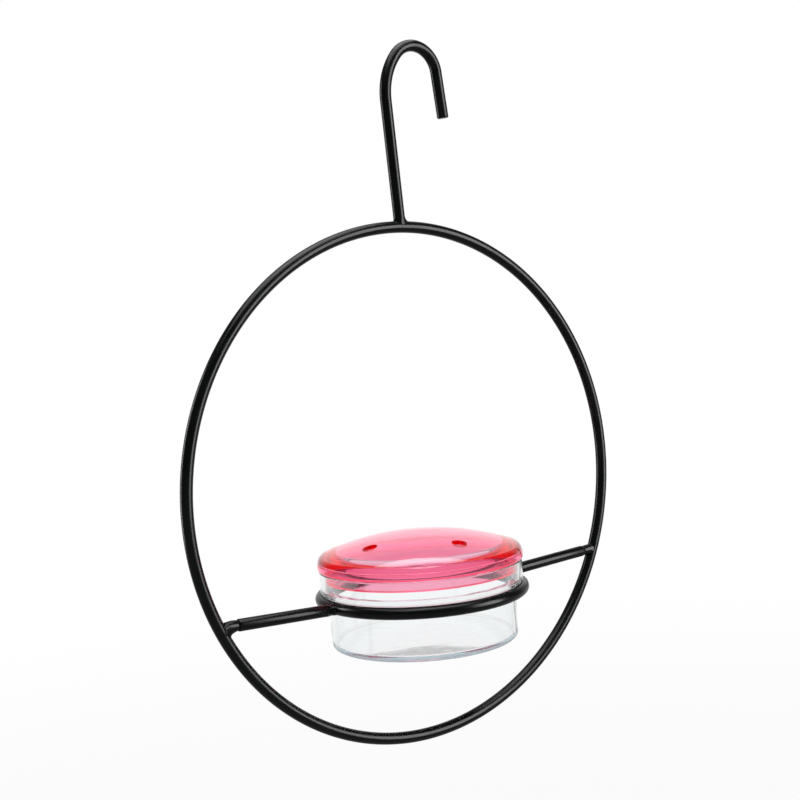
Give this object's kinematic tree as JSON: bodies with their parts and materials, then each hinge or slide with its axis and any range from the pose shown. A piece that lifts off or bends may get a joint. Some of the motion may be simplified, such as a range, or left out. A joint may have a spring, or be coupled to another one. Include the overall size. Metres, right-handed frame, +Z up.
{
  "type": "hummingbird feeder",
  "caption": "Hanging hummingbird feeder: an upright coated rod hoop with an open hook, perch arms and a holder ring for a clear stepped cup under a red domed lid with feeding ports.",
  "frame": {"origin": "the hang point, on the inside of the hook's crown", "axes": "+Z up along the height, X across the hoop in its plane with the hook opening towards +X, Y through the hoop"},
  "size_m": [0.2535, 0.1044, 0.3413],
  "materials": {
    "black_powder_coat": "satin",
    "clear_plastic": "gloss",
    "red_plastic": "gloss"
  },
  "bodies": {
    "frame": {"hoop": "black_powder_coat", "hanger_hook": "black_powder_coat", "left_arm": "black_powder_coat", "right_arm": "black_powder_coat", "holder_ring": "black_powder_coat", "hook_weld": "black_powder_coat", "left_hoop_weld": "black_powder_coat", "right_hoop_weld": "black_powder_coat", "left_ring_weld": "black_powder_coat", "right_ring_weld": "black_powder_coat"},
    "cup": {"cup": "clear_plastic"},
    "lid": {"lid": "red_plastic"}
  },
  "joints": [
    {"name": "cup_lift", "type": "slide", "parent": "frame", "child": "cup", "axis": [0, 0, 1], "range_m": [0, 0.05]},
    {"name": "lid_lift", "type": "slide", "parent": "cup", "child": "lid", "axis": [0, 0, 1], "range_m": [0, 0.03]}
  ]
}
